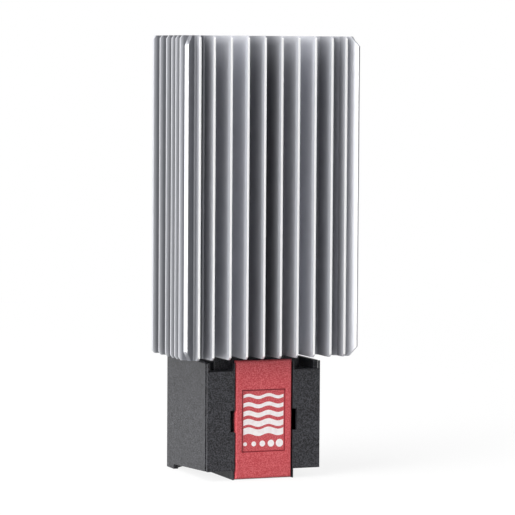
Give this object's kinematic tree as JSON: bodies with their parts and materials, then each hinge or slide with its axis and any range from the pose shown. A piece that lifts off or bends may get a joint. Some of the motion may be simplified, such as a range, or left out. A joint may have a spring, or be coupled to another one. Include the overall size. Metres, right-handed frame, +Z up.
{
  "type": "enclosure heater",
  "caption": "Finned aluminium enclosure heater on a black terminal base with a red front cover, clipped onto a mounting rail.",
  "frame": {"origin": "middle of the bounding box in X and Y, at its lowest plane, on which the base's block and rear feet stand", "axes": "+Z up along the heat sink's extrusion, front with the red cover towards -Y, rail clip towards +Y, +X to the right seen from the front"},
  "size_m": [0.065, 0.055, 0.155],
  "materials": {
    "satin_aluminium": "satin, extruded, lengthwise lines",
    "plain_aluminium": "as rolled",
    "black_polyamide": "moulded, fine grain",
    "red_plastic": "moulded, fine grain",
    "grey_polyamide": "moulded, matte",
    "entry_rubber": "moulded, matte",
    "white_silicone": "matte",
    "heating_ceramic": "unglazed",
    "amber_film": "glossy film",
    "brass": "stamped",
    "zinc_plated_steel": "zinc plated",
    "tinned_copper": "tinned",
    "brown_insulation": "semi-gloss sleeve",
    "blue_insulation": "semi-gloss sleeve",
    "green_insulation": "semi-gloss sleeve, yellow stripe"
  },
  "bodies": {
    "root": {"heat_sink": "satin_aluminium", "ptc_stone_1": "heating_ceramic", "ptc_stone_2": "heating_ceramic", "ptc_stone_3": "heating_ceramic", "contact_strip_front": "brass", "contact_strip_rear": "brass", "insulating_sleeve": "amber_film", "clamping_wedge": "plain_aluminium", "chamber_plug_bottom": "white_silicone", "chamber_plug_top": "white_silicone", "base_shell": "black_polyamide", "front_carrier": "black_polyamide", "red_cover": "red_plastic", "entry_grommet": "entry_rubber", "terminal_block": "grey_polyamide", "clamp_bar_live": "brass", "clamp_bar_earth": "brass", "clamp_bar_neutral": "brass", "clamp_spring_live": "zinc_plated_steel", "clamp_spring_earth": "zinc_plated_steel", "clamp_spring_neutral": "zinc_plated_steel", "lead_live": "brown_insulation", "lead_neutral": "blue_insulation", "lead_earth": "green_insulation", "sink_screw_left": "zinc_plated_steel", "sink_screw_right": "zinc_plated_steel", "sink_washer_left": "zinc_plated_steel", "sink_washer_right": "zinc_plated_steel", "carrier_screw_left": "zinc_plated_steel", "carrier_screw_right": "zinc_plated_steel", "clip_screw_left": "zinc_plated_steel", "clip_screw_right": "zinc_plated_steel", "earth_screw": "brass", "earth_lug": "tinned_copper", "rail_clip": "black_polyamide"}
  },
  "joints": []
}
